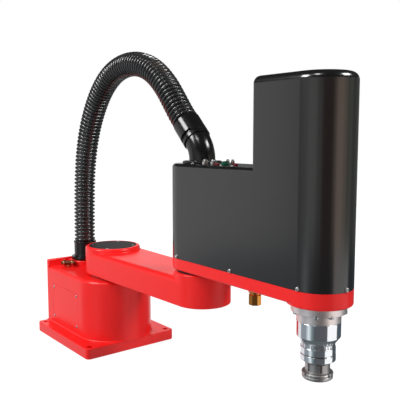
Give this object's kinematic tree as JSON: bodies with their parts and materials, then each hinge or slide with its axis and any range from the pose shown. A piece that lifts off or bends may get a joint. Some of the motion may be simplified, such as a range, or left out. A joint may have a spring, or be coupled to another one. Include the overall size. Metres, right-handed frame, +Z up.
{
  "type": "four-axis industrial robot",
  "caption": "Level-arm robot: bolted-down base, two arms that swing in a plane, a shaft that turns and lifts, and a ribbed conduit arched over the arms.",
  "frame": {"origin": "on the first joint's axis, at the underside of the base", "axes": "+X along the base and both arms at rest, towards the tool; +Y to the robot's left; +Z up"},
  "size_m": [0.8444, 0.22, 0.6368],
  "materials": {
    "red_paint": "satin",
    "cover_black": "satin",
    "cap_grey": "satin",
    "satin_steel": "satin",
    "chrome": "polished",
    "black_plastic": "gloss",
    "conduit_black": "satin",
    "screw_zinc": "satin",
    "bolt_black": "satin",
    "brass": "satin",
    "orange_brass": "gloss",
    "motor_black": "matte",
    "bearing_steel": "polished",
    "belt_rubber": "matte",
    "panel_black": "satin",
    "connector_nickel": "satin",
    "zinc_plate": "satin",
    "green_plastic": "gloss",
    "red_plastic": "gloss"
  },
  "bodies": {
    "base": {"base_casting": "red_paint", "bottom_cover": "zinc_plate", "bottom_cover_screws": "screw_zinc", "side_panel": "red_paint", "side_panel_screws": "screw_zinc", "rear_panel": "panel_black", "rear_panel_screws": "screw_zinc", "power_connector": "black_plastic", "signal_connector": "connector_nickel", "user_connector": "connector_nickel", "rear_air_fittings": "connector_nickel", "tower_brass_fitting": "brass", "conduit_gland": "black_plastic", "gland_locknut": "black_plastic", "first_motor": "motor_black", "first_reducer_housing": "satin_steel", "first_bearing": "bearing_steel", "first_wave_generator": "bearing_steel"},
    "arm1": {"first_output_flange": "satin_steel", "arm1_casting": "red_paint", "first_axis_cap": "cap_grey", "cap_screws": "screw_zinc", "first_flange_bolts": "bolt_black", "second_output_flange": "bolt_black", "second_flange_bolts": "bolt_black", "conduit": "conduit_black"},
    "arm2": {"arm2_casting": "red_paint", "arm2_cover": "cover_black", "cover_screws": "screw_zinc", "cover_top_screws": "screw_zinc", "second_reducer_housing": "satin_steel", "second_bearing": "bearing_steel", "second_wave_generator": "bearing_steel", "second_motor": "motor_black", "elbow_seat": "black_plastic", "cover_air_fittings": "connector_nickel", "cover_green_fitting": "green_plastic", "cover_red_buttons": "red_plastic", "under_arm_fitting": "orange_brass", "drive_bracket": "satin_steel", "lift_motor": "motor_black", "lift_belt": "belt_rubber", "screw_nut_bearing": "bearing_steel", "wrist_motor_bracket": "satin_steel", "wrist_motor": "motor_black", "wrist_belt": "belt_rubber", "quill_flange": "satin_steel", "quill_flange_bolts": "screw_zinc", "quill_housing": "chrome", "spline_nut_bearings": "bearing_steel"},
    "elbow": {"swivel_elbow": "black_plastic", "conduit_cuff": "black_plastic"},
    "lift_pulley": {"lift_motor_pulley": "satin_steel"},
    "lift_nut": {"screw_nut": "satin_steel"},
    "wrist_pulley": {"wrist_motor_pulley": "satin_steel"},
    "wrist": {"spline_nut": "chrome", "lock_rings": "chrome", "wrist_driven_pulley": "satin_steel"},
    "tool": {"tool_shaft": "chrome", "stop_collar": "satin_steel"}
  },
  "joints": [
    {"name": "first_axis", "type": "hinge", "parent": "base", "child": "arm1", "pos_m": [0, 0, 0.16], "axis": [0, 0, 1], "range_deg": [-128, 128], "deforming": ["conduit"]},
    {"name": "second_axis", "type": "hinge", "parent": "arm1", "child": "arm2", "pos_m": [0.325, 0, 0.224], "axis": [0, 0, -1], "range_deg": [-136, 136]},
    {"name": "elbow_swivel", "type": "hinge", "parent": "arm2", "child": "elbow", "pos_m": [0.325, 0, 0.42], "axis": [0, 0, -1], "range_deg": [-137, 137]},
    {"name": "wrist_axis", "type": "hinge", "parent": "arm2", "child": "wrist", "pos_m": [0.6, 0, 0.2], "axis": [0, 0, -1], "range_deg": [-360, 360]},
    {"name": "lift_axis", "type": "slide", "parent": "wrist", "child": "tool", "axis": [0, 0, -1], "range_m": [0, 0.15]},
    {"name": "lift_nut_spin", "type": "hinge", "parent": "arm2", "child": "lift_nut", "pos_m": [0.6, 0, 0.35], "axis": [0, 0, 1], "range_deg": [-10, 2710]},
    {"name": "lift_pulley_spin", "type": "hinge", "parent": "arm2", "child": "lift_pulley", "pos_m": [0.542, 0, 0.35], "axis": [0, 0, 1], "range_deg": [-10, 5218]},
    {"name": "wrist_pulley_spin", "type": "hinge", "parent": "arm2", "child": "wrist_pulley", "pos_m": [0.435, 0, 0.255], "axis": [0, 0, -1], "range_deg": [-700, 700]}
  ],
  "couplings": [
    {"joint": "elbow_swivel", "follows": "second_axis", "ratio": -1},
    {"joint": "lift_nut_spin", "follows": "lift_axis", "rad_per_m": 314.16},
    {"joint": "lift_pulley_spin", "follows": "lift_axis", "rad_per_m": 605.88},
    {"joint": "wrist_pulley_spin", "follows": "wrist_axis", "ratio": 1.9286}
  ]
}
